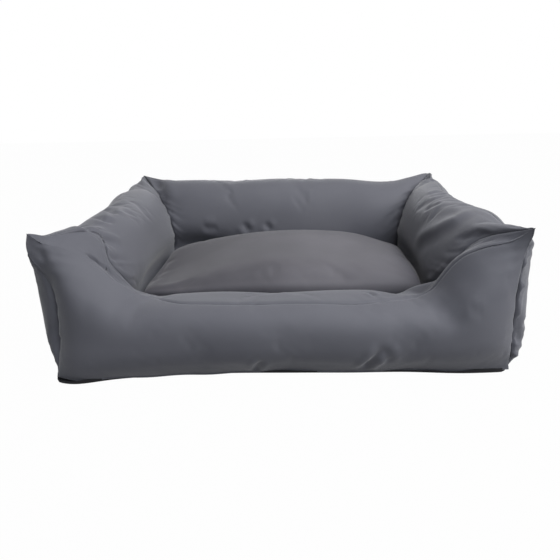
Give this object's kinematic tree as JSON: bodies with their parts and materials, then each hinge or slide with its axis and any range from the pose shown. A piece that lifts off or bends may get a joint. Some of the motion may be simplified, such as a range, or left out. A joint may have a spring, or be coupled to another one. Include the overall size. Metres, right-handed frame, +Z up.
{
  "type": "bolster pet bed",
  "caption": "Rectangular pet bed with four stuffed walls, a low front for stepping in, pointed corners, a dark base sheet and a loose domed cushion.",
  "frame": {"origin": "middle of the footprint, on the ground under the base sheet", "axes": "+X towards the right-hand wall seen from the low front, +Y towards the back wall, +Z up"},
  "size_m": [0.9, 0.7, 0.27],
  "materials": {
    "cover_fabric": "smooth dark grey woven polyester with a faint sheen",
    "base_fabric": "black non-slip fabric",
    "lining_fabric": "dark grey woven lining",
    "fibre": "white loose fibre filling",
    "zip_tape": "dark grey woven tape",
    "zip_coil": "dark nylon coil",
    "zip_metal": "dark nickel plate"
  },
  "bodies": {
    "bed": {"base_sheet": "base_fabric", "floor_sheet": "lining_fabric", "back_outer_panel": "cover_fabric", "back_inner_panel": "cover_fabric", "left_outer_panel": "cover_fabric", "left_inner_panel": "cover_fabric", "right_outer_panel": "cover_fabric", "right_inner_panel": "cover_fabric", "front_outer_panel": "cover_fabric", "front_inner_panel": "cover_fabric", "back_fill": "fibre", "left_fill": "fibre", "right_fill": "fibre", "front_fill": "fibre", "cover_zip_tapes": "zip_tape", "cover_zip_chain": "zip_coil", "cover_zip_stops": "zip_metal"},
    "cover_slider": {"cover_zip_slider": "zip_metal"},
    "cover_pull": {"cover_zip_pull": "zip_metal"},
    "cushion": {"cushion_top_panel": "cover_fabric", "cushion_bottom_panel": "cover_fabric", "cushion_fill": "fibre", "cushion_zip_tapes": "zip_tape", "cushion_zip_chain": "zip_coil", "cushion_zip_stops": "zip_metal"},
    "cushion_slider": {"cushion_zip_slider": "zip_metal"},
    "cushion_pull": {"cushion_zip_pull": "zip_metal"}
  },
  "joints": [
    {"name": "cushion_lift", "type": "slide", "parent": "bed", "child": "cushion", "axis": [0, 0, 1], "range_m": [0, 0.35]},
    {"name": "cover_zip_slide", "type": "slide", "parent": "bed", "child": "cover_slider", "axis": [-1, 0, 0], "range_m": [0, 0.5834]},
    {"name": "cover_pull_swing", "type": "hinge", "parent": "cover_slider", "child": "cover_pull", "pos_m": [0.2917, 0.32185, 0.0203], "axis": [0, 0, 1], "range_deg": [0, 180]},
    {"name": "cushion_zip_slide", "type": "slide", "parent": "cushion", "child": "cushion_slider", "axis": [-1, 0, 0], "range_m": [0, 0.2734]},
    {"name": "cushion_pull_swing", "type": "hinge", "parent": "cushion_slider", "child": "cushion_pull", "pos_m": [0.1367, 0.14693, 0.01605], "axis": [0, 0.7702, 0.6378], "range_deg": [0, 180]}
  ]
}
